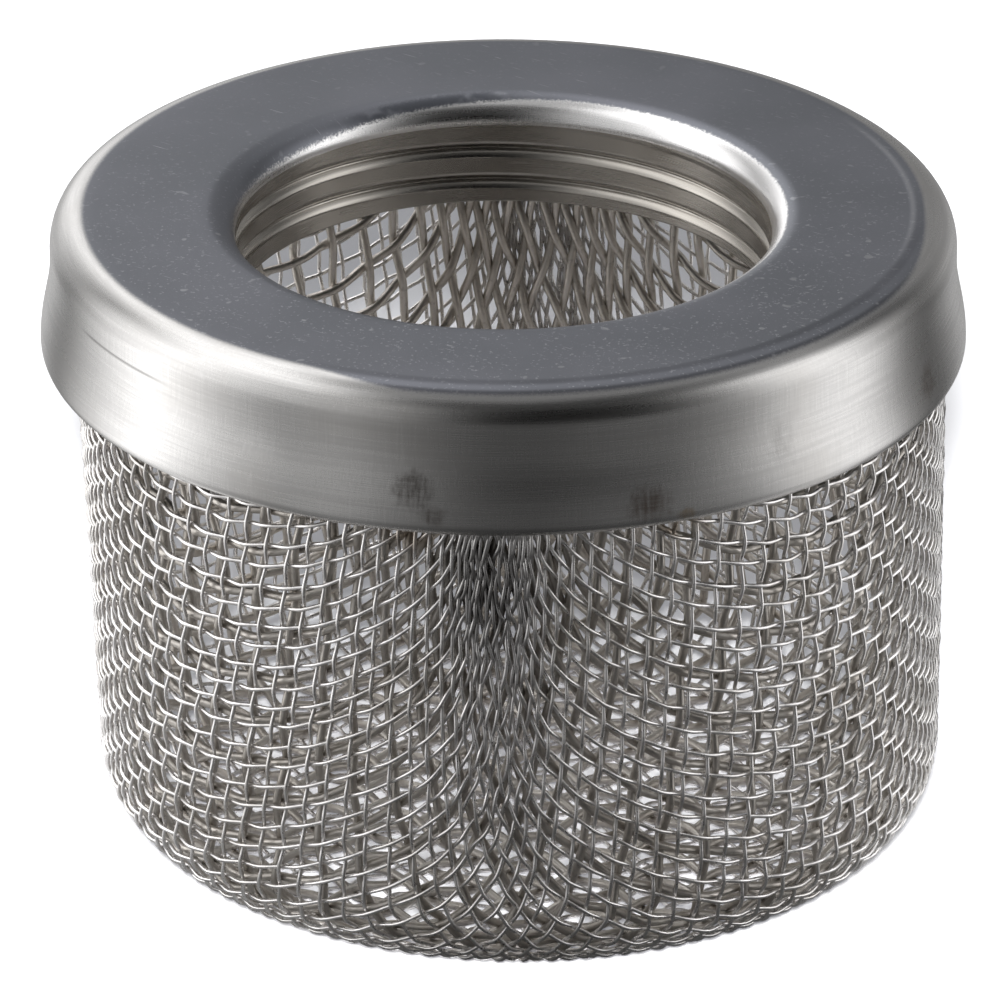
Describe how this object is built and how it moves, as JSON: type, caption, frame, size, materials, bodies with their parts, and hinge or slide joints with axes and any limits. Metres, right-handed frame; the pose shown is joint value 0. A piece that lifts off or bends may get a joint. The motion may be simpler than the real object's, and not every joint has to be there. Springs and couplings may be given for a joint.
{
  "type": "inlet strainer",
  "caption": "Round suction inlet strainer: a drawn steel cap with a threaded neck over two nested woven wire cups.",
  "frame": {"origin": "on the cap's axis, in the plane that the foot of the outer woven cup rests on", "axes": "+Z along the cap's axis from the foot to the neck's mouth, -Y towards the camera of the picture"},
  "size_m": [0.06, 0.06, 0.0437],
  "materials": {
    "cap_steel": "satin drawn stainless sheet, dull grey on the flat top",
    "mesh_steel": "bright woven stainless wire",
    "coarse_wire_steel": "thick woven stainless wire, slightly warm"
  },
  "bodies": {
    "root": {"cap": "cap_steel", "fine_mesh_cup": "mesh_steel", "coarse_mesh_cup": "coarse_wire_steel"}
  },
  "joints": []
}
